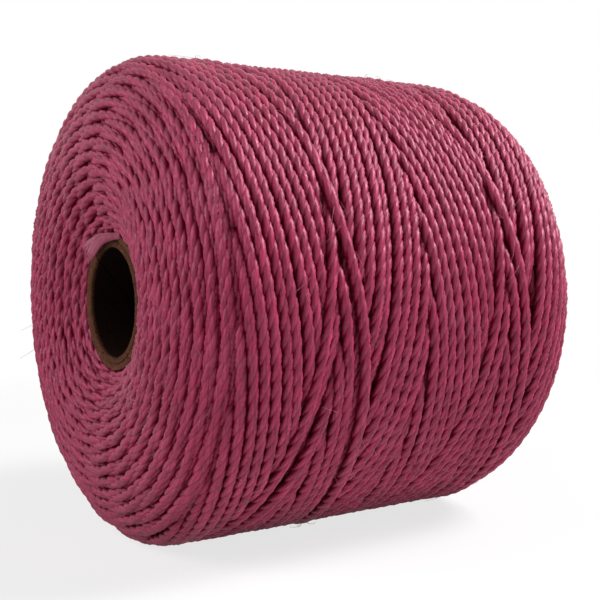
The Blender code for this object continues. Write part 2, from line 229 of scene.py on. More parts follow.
@dataclass
class Winding:
    """Works out where every pass of the line lies, from the newest inwards.

    A ceiling holds, for each place on the drum, how high the line may reach there. The newest pass lies
    right under the package's outline. Each pass then lowers the ceiling to its own underside, and the pass
    that was wound before it is laid under that. Of the layers below the top one only the bends at the two
    ends show, and these are laid ring by ring.
    """

    outline: Outline
    seed: int = 3
    # The pattern of the passes
    turns_per_cycle: int = 4
    step: float = 0.81  # from one double pass to the next
    usual_lead: float = 15.5  # along the drum in a turn
    growth: float = 1.5  # of the radius in a layer
    newest_apex: tuple[float, float] = (-13.9, 15.35)
    newest_reversal: float = 244 / 360
    bend: float = 0.05  # turns in which the line turns back
    wander: float = 0.05
    wander_knots: int = 90
    # How a pass lies on what is under it
    half_width: float = 0.41
    half_height: float = 0.40
    flank: float = 0.22  # the half width that counts when it meets its neighbours
    deepest_dip: float = 1.2
    off_nominal: tuple[float, float] = (0.45, 0.35)
    squeeze: float = 0.6
    evening: tuple[float, float] = (1.2, 2.2)  # lengths evened out: on the drum, and at a near bend
    evening_tails: float = 3.5  # how many such lengths count on each side
    tightest: float = 5.0
    bend_reach: float = 0.09
    # What shows of it
    whole_layers: float = 1.15
    skin_tolerance: float = 0.05
    end_depth: float = 1.3
    tuck_length: float = 1.8
    tuck_depth: float = 0.7
    shortest: float = 2.0
    # The bends of older layers on the ends; a pair is for a tight line and for a slack one
    tube_side: float = 5.74
    ring_spacing: float = 1.0
    ring_margin: float = 0.9
    ring_span: float = 0.115  # turns that show to each side of a bend
    ring_samples: int = 61
    ring_bend: tuple[float, float] = (0.10, 0.06)
    ring_lean: tuple[float, float] = (0.11, 0.24)
    ring_dive: tuple[float, float] = (0.14, 0.34)
    lean_over: float = 0.024  # turns in which a bend takes its lean
    dive_over: float = 0.035  # and its dive
    ring_strays: tuple[float, float, float, float] = (0.1, 0.03, 0.035, 0.004)  # lead, depth, radius, turn
    # The ceiling's grid
    columns: int = 720
    spacing: float = 0.1
    past_ends: float = 1.5
    rows: np.ndarray = field(init=False)
    ceiling: np.ndarray = field(init=False)
    skin: np.ndarray = field(init=False)

    def __post_init__(self) -> None:
        """Sets the ceiling to the package's outline."""
        end = self.outline.length / 2 + self.past_ends
        self.rows = np.arange(-end, end + self.spacing / 2, self.spacing)
        self.skin = np.repeat(self.outline.radius_at(self.rows)[:, None], self.columns, axis=1)
        self.ceiling = self.skin.copy()

    def wind(self) -> list[Stretch]:
        """Lays every pass, newest first.

        Returns:
            The stretches that show from outside.
        """
        rng = np.random.default_rng(self.seed)
        cycle = self.turns_per_cycle - self.step / self.usual_lead
        per_layer = self.usual_lead / self.step
        beds = []
        shoulder = slice(self.outline.shoulder_points)
        for near, apex in zip((True, False), self.newest_apex):
            along, radius, run = self.outline.bed(near, self.half_width, self.tube_side)
            first = float(np.interp(abs(apex), np.abs(along[shoulder]), run[shoulder]))
            beds.append((along, radius, run - first))
        last = max(run[-1] for _, _, run in beds) + self.ring_margin
        shown: list[Stretch] = []
        for age in itertools.count():
            layers = age / per_layer
            here = layers * self.ring_spacing
            if here > last:
                break
            reversal = self.newest_reversal - age * cycle
            if layers < self.whole_layers:
                nominal = self.outline.radius - self.half_height - self.growth * layers
                ends = [float(np.interp(here, bed[2], bed[0])) + self.wander * rng.normal() for bed in beds]
                for direction in (1, -1):
                    along, turn = self.path(ends, reversal, cycle, direction, rng)
                    loose = age == 0 and direction > 0
                    if loose:
                        along = along + self.slack(turn)
                    radius, bare = self.lay(along, turn, reversal, nominal, layers < 1.0)
                    shown += self.showing(along, radius, turn, bare, loose)
                continue
            for (bed_along, bed_radius, run), way in zip(beds, (1, -1)):
                if here < run[-1] + self.ring_margin:
                    seat = (float(np.interp(here, run, bed_along)), float(np.interp(here, run, bed_radius)))
                    shown.append(self.end_bend(seat, reversal + (way < 0) * cycle / 2, way, rng))
        return shown

    def path(
        self, ends: list[float], reversal: float, cycle: float, direction: int, rng: np.random.Generator
    ) -> tuple[np.ndarray, np.ndarray]:
        """One pass between the two ends.

        Args:
            ends: Where it turns back, along the axis, at the near and the far end.
            reversal: The turn at which the line turned back at the near end.
            cycle: How many turns the line takes there and back.
            direction: 1 for the pass that leaves the near end, -1 for the one that comes to it.
            rng: The source of the pass's small wanderings.

        Returns:
            The place along the axis and the turn at each sample.
        """
        low, high = ends
        lead = 2 * (high - low) / (1 - 4 * self.bend / cycle) / cycle
        low, high = low - lead * self.bend, high + lead * self.bend
        start = reversal if direction > 0 else reversal - cycle / 2
        index = np.arange(round(start * self.columns), round((start + cycle / 2) * self.columns) + 1)
        turn = index / self.columns
        from_near = np.abs(turn - reversal)
        from_far = np.abs(turn - (reversal + direction * cycle / 2))
        share = from_near / (cycle / 2)
        share = share * share * (3 - 2 * share)
        near_part = low + lead * np.sqrt(from_near**2 + self.bend**2)
        far_part = high - lead * np.sqrt(from_far**2 + self.bend**2)
        along = near_part * (1 - share) + far_part * share
        knots = np.arange(0, len(along) + self.wander_knots, self.wander_knots)
        stray = np.interp(np.arange(len(along)), knots, rng.normal(size=len(knots)))
        fade = np.sin(math.pi * np.linspace(0.0, 1.0, len(along))) ** 0.3
        return along + self.wander * stray * fade, turn

    def slack(self, turn: np.ndarray) -> np.ndarray:
        """How far the slack last turn has slipped along the drum: over and back, with a faint quick wave."""
        past = (turn - turn[0]) % 2.0
        slip = 0.35 + 0.35 * np.sin(2 * math.pi * (past - 0.62)) + 0.1 * np.sin(2 * math.pi * 5.3 * past)
        return slip * np.clip(past * 6, 0, 1) * np.clip((1.9 - past) * 4, 0, 1)

    def lay(
        self, along: np.ndarray, turn: np.ndarray, reversal: float, nominal: float, in_top_layer: bool
    ) -> tuple[np.ndarray, np.ndarray]:
        """Lays one pass under the ceiling and lowers the ceiling to its underside.

        Args:
            along: Its place along the axis at each sample.
            turn: The turn at each sample.
            reversal: The turn at which the line turned back at the near end.
            nominal: The package's radius when it was wound.
            in_top_layer: Whether it belongs to the layer that makes the drum's surface.

        Returns:
            The radius of its middle line, and whether it shows there.
        """
        column = (np.round(turn * self.columns).astype(int) % self.columns)[:, None]
        reach = np.arange(-4, 5) * self.spacing
        crown = self.crown(reach, self.flank)
        row = self.row_of(along[:, None] + reach)
        over = self.ceiling[row, column]
        bare = (self.skin[row, column] - over < self.skin_tolerance).any(axis=1)
        free = (over - crown).min(axis=1)
        if in_top_layer:
            radius = np.maximum(free, nominal - self.deepest_dip)
        else:
            radius = np.clip(free, nominal - self.off_nominal[0], nominal + self.off_nominal[1])
        radius = np.minimum(radius, free + self.squeeze)
        near_bend = np.clip(1.6 - np.abs(turn - reversal) / self.bend_reach, 0.0, 1.0)
        usual, at_bend = (self.smoothed(radius, over, nominal) for over in self.evening)
        radius = usual * (1 - near_bend) + at_bend * near_bend
        reach = np.arange(-5, 6) * self.spacing
        crown = self.crown(reach, self.half_width)
        row = self.row_of(along[:, None] + reach)
        under = radius[:, None] - crown
        lower = (under < self.ceiling[row, column]) & (crown > 0)
        wide = np.broadcast_to(column, row.shape)
        self.ceiling[row[lower], wide[lower]] = under[lower]
        depth_near = along - self.outline.near_at(radius)
        depth_far = self.outline.far_at(radius) - along
        return radius, bare | (depth_near < self.end_depth) | (depth_far < self.end_depth)

    def crown(self, reach: np.ndarray, half_width: float) -> np.ndarray:
        """The line's height over its middle at these distances to its side."""
        inside = np.abs(reach) <= half_width
        height = self.half_height * np.sqrt(np.maximum(0.0, 1 - (reach / half_width) ** 2))
        return np.where(inside, height, -9.0)

    def row_of(self, along: np.ndarray) -> np.ndarray:
        """The ceiling's rows at these places along the axis."""
        row = np.round((along - self.rows[0]) / self.spacing).astype(int)
        return np.clip(row, 0, len(self.rows) - 1)

    def smoothed(self, radius: np.ndarray, over: float, nominal: float) -> np.ndarray:
        """The radius evened out along the line, as a taut line would be."""
        sample = 2 * math.pi * max(nominal, self.tightest) / self.columns
        half = int(self.evening_tails * over / sample)
        weights = np.exp(-0.5 * (np.arange(-half, half + 1) * sample / over) ** 2)
        return np.convolve(np.pad(radius, half, mode="edge"), weights / weights.sum(), mode="valid")

    def showing(
        self, along: np.ndarray, radius: np.ndarray, turn: np.ndarray, bare: np.ndarray, loose: bool
    ) -> list[Stretch]:
        """Cuts a pass into the stretches that show, each a little longer than what shows of it.

        Args:
            along: Its place along the axis at each sample.
            radius: The radius of its middle line.
            turn: The turn at each sample.
            bare: Whether it shows at each sample.
            loose: Whether it is the slack last pass.

        Returns:
            The stretches.
        """
        sample = 2 * math.pi * radius.mean() / self.columns
        margin = int(self.tuck_length / sample)
        near_bare = np.convolve(np.pad(bare.astype(float), margin), np.ones(2 * margin + 1), mode="valid") > 0
        edges = np.flatnonzero(np.diff(np.concatenate([[False], near_bare, [False]]).astype(int)))
        found = []
        for first, last in zip(edges[::2], edges[1::2]):
            if (last - first) * sample < self.shortest:
                continue
            part = slice(first, last)
            from_end = np.minimum(np.arange(last - first), np.arange(last - first)[::-1]) / margin
            sunk = self.tuck_depth * np.clip(1 - from_end, 0.0, 1.0) ** 2
            axial, radial = self.outline.inwards(along[part], radius[part])
            found.append(
                Stretch(along[part] + sunk * axial, radius[part] + sunk * radial, turn[part], loose)
            )
        return found

    def end_bend(
        self, seat: tuple[float, float], centre: float, way: int, rng: np.random.Generator
    ) -> Stretch:
        """The bend in which a buried pass turns back, all of it that shows on an end's face.

        Its outgoing leg lies over the next older bend, and its incoming leg dives under the next newer one.
        At the top and the bottom of the spool, where the line ran slack, the bends are tighter.

        Args:
            seat: Its place along the axis, and its radius.
            centre: The turn at which it turns back.
            way: The way into the package along the axis: 1 at the near end, -1 at the far one.
            rng: The source of its small unevenness.

        Returns:
            The bend.
        """
        slack = math.cos(2 * math.pi * centre) ** 4
        bend, lean, dive = (
            tight * (1 - slack) + loose * slack
            for tight, loose in (self.ring_bend, self.ring_lean, self.ring_dive)
        )
        lead_off, depth_off, radius_off, turn_off = (spread * rng.normal() for spread in self.ring_strays)
        past = np.linspace(-self.ring_span, self.ring_span, self.ring_samples)
        deep = self.usual_lead * (1 + lead_off) * (np.sqrt(past**2 + bend**2) - bend)
        deep += dive * np.clip(-past / self.dive_over, 0.0, 1.0) ** 2 + depth_off
        radius = np.maximum(seat[1] + lean * np.tanh(past / self.lean_over) + radius_off, self.tube_side)
        return Stretch(seat[0] + way * deep, radius, centre + past + turn_off)


# ---------------------------------------------------------------- tubes of line


@dataclass
class Skin:
    """The skin of one closed tube: its points ring by ring, and the lay map's two numbers.

    The exposure of a point is 1 where it faces out of the package, 0 at the line's flank and -1 underneath.
    By it the line's finish paints a sheen on the crowns, shade on the flanks and red light in the gaps.
    """

    points: np.ndarray
    share: np.ndarray
    run: np.ndarray
    exposure: Union[np.ndarray, float] = 1.0

    @property
    def triangles(self) -> int:
        """How many triangles it comes to."""
        return 2 * self.points.shape[0] * self.points.shape[1]


def oval_skin(
    middle: np.ndarray,
    across: np.ndarray,
    up: np.ndarray,
    half: tuple[np.ndarray, np.ndarray],
    sides: int,
    length: float,
) -> Skin:
    """The skin of a tube with an oval section.

    Args:
        middle: Its middle line.
        across: The direction of its width at each point.
        up: The direction of its height at each point.
        half: Half its width and half its height at each point.
        sides: How many points go round it.
        length: Its length on the lay map.

    Returns:
        The skin.
    """
    angle = 2 * math.pi * np.arange(sides) / sides
    wide, high = half[0][:, None] * np.cos(angle), -half[1][:, None] * np.sin(angle)
    points = rings(middle, across, up, wide, high)
    return Skin(points, np.arange(sides + 1) / sides, np.linspace(0, length, len(middle)))


def linked(name: str, data: bpy.types.ID) -> bpy.types.Object:
    """A new object of this data, in the scene."""
    obj = bpy.data.objects.new(name, data)
    bpy.context.scene.collection.objects.link(obj)
    return obj


def object_of_skins(name: str, skins: list[Skin], material: bpy.types.Material) -> bpy.types.Object:
    """One object of several closed tubes, with its lay map.

    Args:
        name: The piece's name.
        skins: The tubes, all with the same number of points round them.
        material: Its finish.

    Returns:
        The finished object.
    """
    sides = skins[0].points.shape[1]
    here = np.arange(sides)
    after = (here + 1) % sides
    quads, caps, shares, runs = [], [], [], []
    offset = 0
    for skin in skins:
        count = len(skin.points)
        base = offset + sides * np.arange(count - 1)[:, None]
        quads.append(np.stack([base + here, base + after, base + sides + after, base + sides + here], -1))
        caps += [offset + here[::-1], offset + (count - 1) * sides + here]
        left, right = np.tile(skin.share[:-1], (count - 1, 1)), np.tile(skin.share[1:], (count - 1, 1))
        low, high = np.repeat(skin.run[:-1, None], sides, 1), np.repeat(skin.run[1:, None], sides, 1)
        shares.append(np.stack([left, right, right, left], -1))
        runs.append(np.stack([low, low, high, high], -1))
        offset += count * sides
    coords = np.concatenate([skin.points.reshape(-1, 3) for skin in skins])
    coords[:, 2] = np.maximum(coords[:, 2], FLOOR_HEIGHT)
    quads = np.concatenate([quad.reshape(-1, 4) for quad in quads])
    loops = np.concatenate([quads.ravel(), *caps]).astype(np.int32)
    totals = np.concatenate([np.full(len(quads), 4), np.full(len(caps), sides)])
    mesh = bpy.data.meshes.new(name)
    mesh.vertices.add(len(coords))
    mesh.vertices.foreach_set("co", (coords * METRES).astype(np.float32).ravel())
    mesh.loops.add(len(loops))
    mesh.loops.foreach_set("vertex_index", loops)
    mesh.polygons.add(len(totals))
    mesh.polygons.foreach_set("loop_start", np.concatenate([[0], np.cumsum(totals)[:-1]]).astype(np.int32))
    mesh.update(calc_edges=True)
    lay = np.zeros((len(loops), 2), np.float32)
    lay[: quads.size, 0] = np.concatenate([share.ravel() for share in shares])
    lay[: quads.size, 1] = np.concatenate([run.ravel() for run in runs]) * METRES
    mesh.uv_layers.new(name=LAY_MAP).data.foreach_set("uv", lay.ravel())
    # The exposure, by which the line's finish paints a sheen on the crowns, shade on the flanks and red light
    # in the gaps.
    exposure = [np.broadcast_to(skin.exposure, skin.points.shape[:2]).ravel() for skin in skins]
    mesh.attributes.new(EXPOSURE, "FLOAT", "POINT").data.foreach_set(
        "value", np.concatenate(exposure).astype(np.float32)
    )
    mesh.validate()
    mesh.shade_smooth()
    mesh.materials.append(material)
    return linked(name, mesh)


@dataclass(frozen=True)
class Laying:
    """The line's make: three strands laid together, right-handed.

    The second number of each pair of strays is what a loose stretch has besides, and the wavers are the
    lengths over which the strays change. The shade is the depth at which the line begins to lie in the
    dark, how much deeper it is full, and how much exposure it takes. Each stretch starts somewhere up to
    the farthest run along the lay map, so that no two have the same streaks.
    """

    strand_radius: float = 0.256
    strand_offset: float = 0.166
    lay: float = 3.6
    flattening: float = 1.05
    ring_step: float = 0.37
    lobe_angles: tuple[float, ...] = (-60.0, -50.0, -30.0, 0.0, 30.0, 50.0)
    loose_rise: float = 0.1
    loose_lay: float = 0.12
    twist_strays: tuple[float, float] = (0.06, 0.1)
    girth_strays: tuple[float, float] = (0.02, 0.03)
    odd_girth: float = 0.025
    twist_waver: float = 8.0
    girth_waver: float = 3.0
    farthest_run: float = 500.0
    shade: tuple[float, float, float] = (0.55, 0.7, 0.9)

    def section(self) -> tuple[np.ndarray, np.ndarray]:
        """The line's outline across, as angles and radii, with points near the grooves between strands."""
        lobe = np.radians(self.lobe_angles)
        off, rod = self.strand_offset, self.strand_radius
        radius = off * np.cos(lobe) + np.sqrt(rod**2 - (off * np.sin(lobe)) ** 2)
        angle = (lobe[None, :] + 2 * math.pi / 3 * np.arange(3)[:, None]).ravel()
        return angle, np.tile(radius, 3)

    def skin(self, stretch: Stretch, outline: Outline, rng: np.random.Generator) -> Skin:
        """The skin of one stretch.

        Args:
            stretch: The stretch's middle line.
            outline: The package's outline.
            rng: The source of its small unevenness.

        Returns:
            The skin, whose lay map stays with the strands: a strand's crown is at a share of 1/6, 1/2 or 5/6.
        """
        middle, even = even_line(stretch.points(), self.ring_step)
        _, out, across = frame_along(middle, middle * np.array([0.0, 1.0, 1.0]))
        loose = 1.0 if stretch.loose else 0.0
        middle = middle + out * (self.loose_rise * loose)
        lay = self.lay * (1 + self.loose_lay * loose)
        twist_stray, girth_stray = (
            usual + more * loose for usual, more in (self.twist_strays, self.girth_strays)
        )
        twist = 2 * math.pi * (even / lay + rng.random() + twist_stray * uneven(even, self.twist_waver, rng))
        girth = 1 + self.odd_girth * rng.normal() + girth_stray * uneven(even, self.girth_waver, rng)
        angle, reach = self.section()
        spread = reach[None, :] * girth[:, None]
        turned = twist[:, None] + angle[None, :]
        wide = self.flattening * spread * np.sin(turned)
        points = rings(middle, out, across, spread * np.cos(turned), wide)
        share = np.append(angle, angle[0] + 2 * math.pi) / (2 * math.pi) + 1 / 6
        # How far each point faces out of the package, lowered where the line lies deep in the dark: the
        # finish paints sheen, shade and red light in the gaps by it.
        radius = np.hypot(middle[:, 1], middle[:, 2])
        axial, radial = outline.inwards(middle[:, 0], radius)
        facing = unit(-axial[:, None] * np.array([1.0, 0.0, 0.0]) - radial[:, None] * out)
        facing = (unit(points - middle[:, None]) * facing[:, None]).sum(axis=2)
        from_ends = np.minimum(middle[:, 0] - outline.near_at(radius), outline.far_at(radius) - middle[:, 0])
        deep = np.minimum(outline.radius_at(middle[:, 0]) - radius, from_ends)
        begins, over, most = self.shade
        exposure = facing - most * np.clip((deep - begins) / over, 0, 1)[:, None]
        return Skin(points, share, even + rng.random() * self.farthest_run, exposure)


class Side(Enum):
    """The part of the package on which a piece of the line shows, and the solid it stands for."""

    NEAR_END = ("near_end_line", "near_end_turns")
    DRUM = ("drum_line", "drum_turns")
    FAR_END = ("far_end_line", "far_end_turns")

    @classmethod
    def of(cls, stretch: Stretch) -> "Side":
        """The side on which this stretch lies."""
        middle = float(stretch.along.mean())
        if middle < NEAR_END_STARTS:
            return cls.NEAR_END
        return cls.FAR_END if middle > FAR_END_STARTS else cls.DRUM


@dataclass
class WoundLine:
    """All of the line that shows on the package, in pieces small enough to handle."""

    laying: Laying = Laying()
    most_triangles: int = 180_000
    seed: int = 11

    def build(self, outline: Outline, stretches: list[Stretch], material: bpy.types.Material) -> None:
        """Makes the pieces, and says what each stands for.

        Args:
            outline: The package's outline.
            stretches: The stretches that show.
            material: The line's finish.
        """
        rng = np.random.default_rng(self.seed)
        groups: dict[Side, list[Skin]] = {side: [] for side in Side}
        for stretch in stretches:
            groups[Side.of(stretch)].append(self.laying.skin(stretch, outline, rng))
        for side, skins in groups.items():
            stem, node = side.value
            for number, batch in enumerate(self.batches(skins), 1):
                piece = object_of_skins(f"{stem}_{number}", batch, material)
                place(piece, "line", node)

    def batches(self, skins: list[Skin]) -> list[list[Skin]]:
        """Shares one side's tubes among as few objects as hold them."""
        total = sum(skin.triangles for skin in skins)
        target = total / math.ceil(total / self.most_triangles)
        found: list[list[Skin]] = [[]]
        size = 0.0
        for skin in skins:
            if size >= target:
                found.append([])
                size = 0.0
            found[-1].append(skin)
            size += skin.triangles
        return found


# ---------------------------------------------------------------- modelling helpers


def place(piece: bpy.types.Object, slot: str, *nodes: str) -> None:
    """Sets a finished piece on the spool's one body, and says what it stands for.

    Args:
        piece: The piece.
        slot: The record's material slot that it takes its finish from. It is not used.
        nodes: The CAD nodes that it replaces.
    """
    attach(piece, "root")
    if nodes:
        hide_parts(*nodes)
    log.info("%s: %d faces, for %s", piece.name, len(piece.data.polygons), ", ".join(nodes) or "no solid")


def only(obj: bpy.types.Object) -> None:
    """Makes this object the active one and the only one selected."""
    bpy.ops.object.select_all(action="DESELECT")
    bpy.context.view_layer.objects.active = obj
    obj.select_set(True)


def apply_modifier(obj: bpy.types.Object, kind: str, **settings: Value) -> None:
    """Adds a modifier with these settings and applies it."""
    only(obj)
    modifier = obj.modifiers.new(kind.lower(), kind)
    for name, value in settings.items():
        setattr(modifier, name, value)
    bpy.ops.object.modifier_apply(modifier=modifier.name)


@dataclass(frozen=True)
class BuriedCore:
    """The dark mass of older turns that closes the gaps between those that show."""

    depth: float = 1.35
    hub_lap: float = 0.3
    drum_gap: float = 0.05
    points: int = 40
    steps: int = 96

    def build(self, outline: Outline, material: bpy.types.Material) -> None:
        """Spins the outline, sunk by a little over one line's width.

        Args:
            outline: The package's outline.
            material: The finish of the buried turns.
        """
        inner = outline.hub_radius - self.hub_lap
        radii = np.linspace(inner, outline.radius - self.drum_gap, self.points)
        near = np.stack([outline.near_at(radii), radii], -1)
        far = np.stack([outline.far_at(radii), radii], -1)[::-1]
        profile = np.concatenate([near, far])
        heading = unit(np.gradient(profile, axis=0))
        profile += self.depth * np.stack([heading[:, 1], -heading[:, 0]], -1)
        profile[:, 1] = np.maximum(profile[:, 1], inner)
        name = "buried_turns_mass"
        mesh = bpy.data.meshes.new(name)
        corners = [(x * METRES, 0.0, r * METRES) for x, r in profile]
        mesh.from_pydata(corners, [(i, (i + 1) % len(corners)) for i in range(len(corners))], [])
        obj = linked(name, mesh)
        only(obj)
        bpy.ops.object.mode_set(mode="EDIT")
        bpy.ops.mesh.select_all(action="SELECT")
        bpy.ops.mesh.spin(steps=self.steps, angle=2 * math.pi, center=(0, 0, 0), axis=(1, 0, 0))
        bpy.ops.mesh.select_all(action="SELECT")
        bpy.ops.mesh.remove_doubles(threshold=1e-6)
        bpy.ops.mesh.normals_make_consistent(inside=False)
        bpy.ops.object.mode_set(mode="OBJECT")
        bpy.ops.object.shade_smooth()
        obj.data.materials.append(material)
        place(obj, "buried_line", "buried_turns")


@dataclass(frozen=True)
class PaperPly:
    """One ply of the tube's board."""

    name: str
    node: str
    slot: str
    outer_radius: float
    thickness: float
    shift: float


@dataclass(frozen=True)
class PaperTube:
    """The short spiral-wound tube of grey-brown board that the line is wound on."""

    length: float = 31.0
    sides: int = 160
    rim_round: float = 0.07
    rim_rough: float = 0.035
    rim_depth: float = 0.4
    rim_waves: tuple[int, ...] = (5, 11, 23, 41, 67)
    seed: int = 5
    plies: tuple[PaperPly, ...] = (
        PaperPly("inner_paper_ply", "tube_inner_ply", "inner_paper", 4.79, 0.49, 0.0),
        PaperPly("outer_paper_ply", "tube_outer_ply", "outer_paper", 5.30, 0.49, 0.03),
    )

    def build(self, materials: dict[str, bpy.types.Material]) -> None:
        """Makes both plies.

        Args:
            materials: The finish for each slot.
        """
        rng = np.random.default_rng(self.seed)
        for ply in self.plies:
            obj = self.shell(ply)
            self.roughen(obj, ply, rng)
            obj.data.materials.append(materials[ply.slot])
            place(obj, ply.slot, ply.node)

    def shell(self, ply: PaperPly) -> bpy.types.Object:
        """One ply as a closed wall with soft rims."""
        bpy.ops.object.select_all(action="DESELECT")
        bpy.ops.mesh.primitive_cylinder_add(
            vertices=self.sides,
            radius=ply.outer_radius * METRES,
            depth=(self.length - 2 * ply.shift) * METRES,
            end_fill_type="NOTHING",
            rotation=(0.0, math.pi / 2, 0.0),
        )
        obj = bpy.context.active_object
        obj.name = ply.name
        obj.data.name = ply.name
        bpy.ops.object.transform_apply(location=True, rotation=True, scale=True)
        apply_modifier(obj, "SOLIDIFY", thickness=ply.thickness * METRES, offset=-1.0, use_even_offset=True)
        apply_modifier(
            obj,
            "BEVEL",
            width=self.rim_round * METRES,
            segments=3,
            limit_method="ANGLE",
            angle_limit=math.radians(60),
        )
        only(obj)
        bpy.ops.object.mode_set(mode="EDIT")
        bpy.ops.mesh.select_all(action="SELECT")
        bpy.ops.mesh.normals_make_consistent(inside=False)
        bpy.ops.object.mode_set(mode="OBJECT")
        bpy.ops.object.shade_smooth_by_angle(angle=math.radians(50))
        return obj

    def roughen(self, obj: bpy.types.Object, ply: PaperPly, rng: np.random.Generator) -> None:
        """Makes a cut rim slightly ragged.

        Args:
            obj: The ply's object.
            ply: Its sizes.
            rng: The source of the raggedness.
        """
        coords = np.empty(len(obj.data.vertices) * 3)
        obj.data.vertices.foreach_get("co", coords)
        coords = coords.reshape(-1, 3)
        angle = np.arctan2(coords[:, 2], coords[:, 1]) / (2 * math.pi) % 1.0
        wave = np.zeros(len(coords))
        for count in self.rim_waves:
            wave += np.sin(2 * math.pi * (count * angle + rng.random())) * rng.uniform(0.4, 1.0) / 3
        at_rim = np.abs(coords[:, 0]) > (self.length / 2 - ply.shift - self.rim_depth) * METRES
        coords[:, 0] += np.sign(coords[:, 0]) * (wave - 1.0) * self.rim_rough * METRES * at_rim
        obj.data.vertices.foreach_set("co", coords.ravel())
        obj.data.update()


@dataclass(frozen=True)
class StartTail:
    """The line's first end, untwisted, pressed flat and torn off: a ribbon of loose filament bundles.

    Each station holds a place, and the ribbon's width and thickness there.
    """

    stations: tuple[tuple[float, float, float, float, float], ...] = (
        (-15.30, -1.9, 5.15, 0.45, 0.45),
        (-15.62, -1.0, 5.08, 0.50, 0.45),
        (-15.88, -0.1, 5.03, 0.65, 0.42),
        (-16.05, 0.95, 4.78, 0.95, 0.36),
        (-16.15, 1.85, 4.40, 1.30, 0.30),
        (-16.20, 2.55, 4.00, 1.60, 0.26),
        (-16.18, 3.05, 3.62, 1.80, 0.22),
    )
    steps: int = 56
    smoothing: int = 14
    bundles: int = 17
    sides: int = 10
    arch: float = 0.32
    slant: float = 0.8
    ragged: tuple[float, float] = (-0.6, 0.35)
    sprung: int = 9
    sprung_half: float = 0.03
    sprung_reach: float = 0.5
    sprung_rise: float = 0.12
    seed: int = 21

    def build(self, material: bpy.types.Material) -> None:
        """Lays the bundles side by side, and the sprung filaments among them."""
        rng = np.random.default_rng(self.seed)
        rows = self.centre_line()
        skins = []
        for share in np.linspace(-0.5, 0.5, self.bundles):
            skins.append(self.bundle(rows, float(share), rng))
        for _ in range(self.sprung):
            skins.append(self.bundle(rows, float(rng.uniform(-0.52, 0.52)), rng, fine=True))
        place(object_of_skins("frayed_tail", skins, material), "tail", "start_tail")

    def centre_line(self) -> np.ndarray:
        """The stations joined by a smooth line."""
        stations = np.array(self.stations)
        knots = np.arange(len(stations), dtype=float)
        fine = np.linspace(0.0, knots[-1], self.steps)
        rows = np.stack([np.interp(fine, knots, column) for column in stations.T], axis=1)
        for _ in range(self.smoothing):
            rows[1:-1] = (rows[:-2] + 2 * rows[1:-1] + rows[2:]) / 4
        return rows

    def bundle(self, rows: np.ndarray, share: float, rng: np.random.Generator, fine: bool = False) -> Skin:
        """One bundle of filaments.

        Args:
            rows: The ribbon's middle line, width and thickness.
            share: Where the bundle lies over the ribbon's width, from -0.5 to 0.5.
            rng: The source of its unevenness.
            fine: Whether it is a single thin filament that has sprung free.

        Returns:
            Its skin.
        """
        end = self.slant * share + rng.uniform(*self.ragged) + (self.sprung_reach if fine else 0.0)
        ahead, up, across = frame_along(rows[:, :3], np.tile([-1.0, 0.0, 0.0], (len(rows), 1)))
        run = run_along(rows[:, :3])
        last = int(np.searchsorted(run, run[-1] + end))
        grown = np.clip(run / run[-1], 0, 1)
        width, thickness = rows[:, 3], rows[:, 4]
        wave = 0.05 * np.sin(run * rng.uniform(1.2, 2.4) + rng.uniform(0, 6)) * grown
        side = share * width + wave
        high = self.arch * thickness * np.sqrt(np.maximum(0.0, 1 - (2 * min(abs(share), 0.5)) ** 2))
        high = high + 0.05 * rng.uniform(-1, 1) * grown + (self.sprung_rise * grown**3 if fine else 0.0)
        middle = rows[:, :3] + across * side[:, None] + up * high[:, None]
        if last < len(rows):
            middle, across, up = middle[:last], across[:last], up[:last]
            width, thickness = width[:last], thickness[:last]
        elif end > 0:
            beyond = middle[-1] + ahead[-1] * end + up[-1] * rng.uniform(-0.1, 0.25)
            middle = np.vstack([middle, beyond])
            across, up = np.vstack([across, across[-1]]), np.vstack([up, up[-1]])
            width, thickness = np.append(width, width[-1]), np.append(thickness, thickness[-1])
        count = len(middle)
        taper = np.clip((count - 1 - np.arange(count)) / 5, 0.12, 1.0)
        wide = self.sprung_half * np.ones(count) if fine else 0.9 * width / self.bundles
        thick = self.sprung_half * np.ones(count) if fine else 0.30 * thickness + 0.02
        return oval_skin(middle, across, up, (wide * taper, thick * taper), self.sides, count * 0.2)


